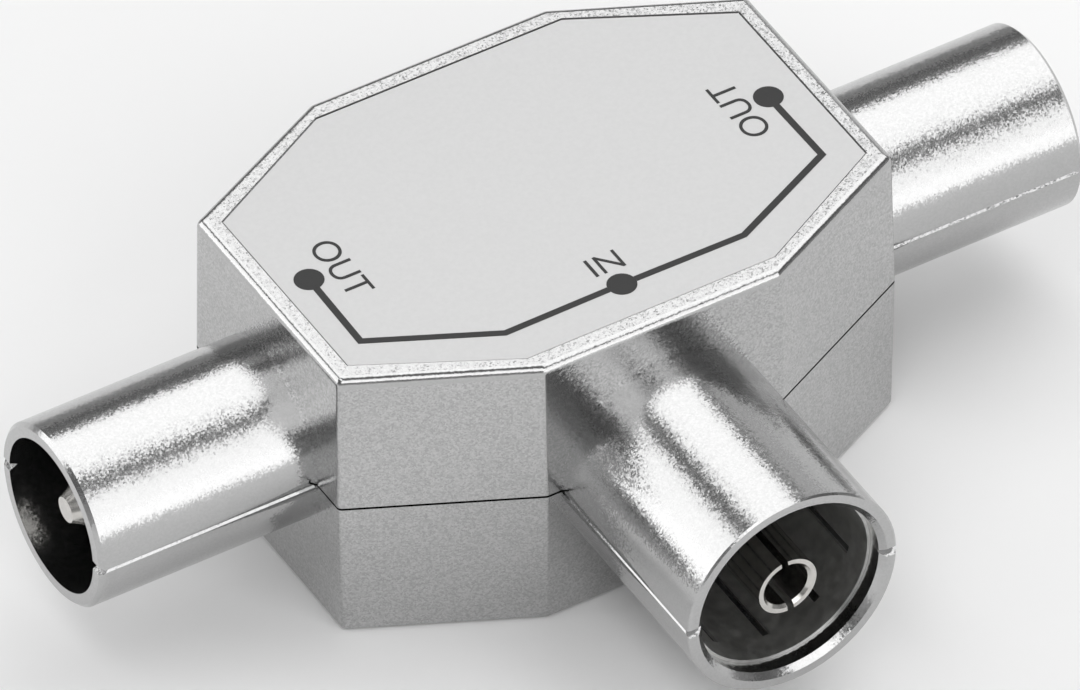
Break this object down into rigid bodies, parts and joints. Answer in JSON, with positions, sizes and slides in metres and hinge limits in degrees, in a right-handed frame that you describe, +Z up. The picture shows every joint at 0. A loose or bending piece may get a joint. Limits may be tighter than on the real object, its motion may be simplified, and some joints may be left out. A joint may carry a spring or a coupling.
{
  "type": "coaxial adapter",
  "caption": "T-shaped coaxial splitter adapter: octagonal die-cast housing with two push-on plugs in line and one push-on socket at the front.",
  "frame": {"origin": "centre of the flat bottom face of the housing", "axes": "+X along the two plugs towards the right plug, -Y out of the socket, +Z up through the labelled face"},
  "size_m": [0.0552, 0.0342, 0.0164],
  "materials": {
    "cast_nickel": "satin nickel plating on die-cast zinc, fine grain",
    "foil": "satin foil label with a printed port diagram",
    "pin_plating": "nickel-plated brass",
    "spring_metal": "bright stamped sleeve",
    "black_moulding": "moulded black",
    "board": "glass-fibre laminate",
    "ferrite": "sintered",
    "enamelled_wire": "enamelled copper",
    "chip_body": "fired",
    "solder": "solder"
  },
  "bodies": {
    "root": {"upper_housing": "cast_nickel", "lower_housing": "cast_nickel", "label": "foil", "left_pin": "pin_plating", "right_pin": "pin_plating", "left_insulator": "black_moulding", "right_insulator": "black_moulding", "front_insulator": "black_moulding", "socket_contact": "pin_plating", "spring_sleeve": "spring_metal", "circuit_board": "board", "splitter_core": "ferrite", "splitter_winding": "enamelled_wire", "matching_core": "ferrite", "matching_winding": "enamelled_wire", "isolation_resistor": "chip_body", "input_capacitor": "chip_body", "matching_capacitor": "chip_body", "left_pin_solder": "solder", "right_pin_solder": "solder", "socket_solder": "solder"}
  },
  "joints": []
}
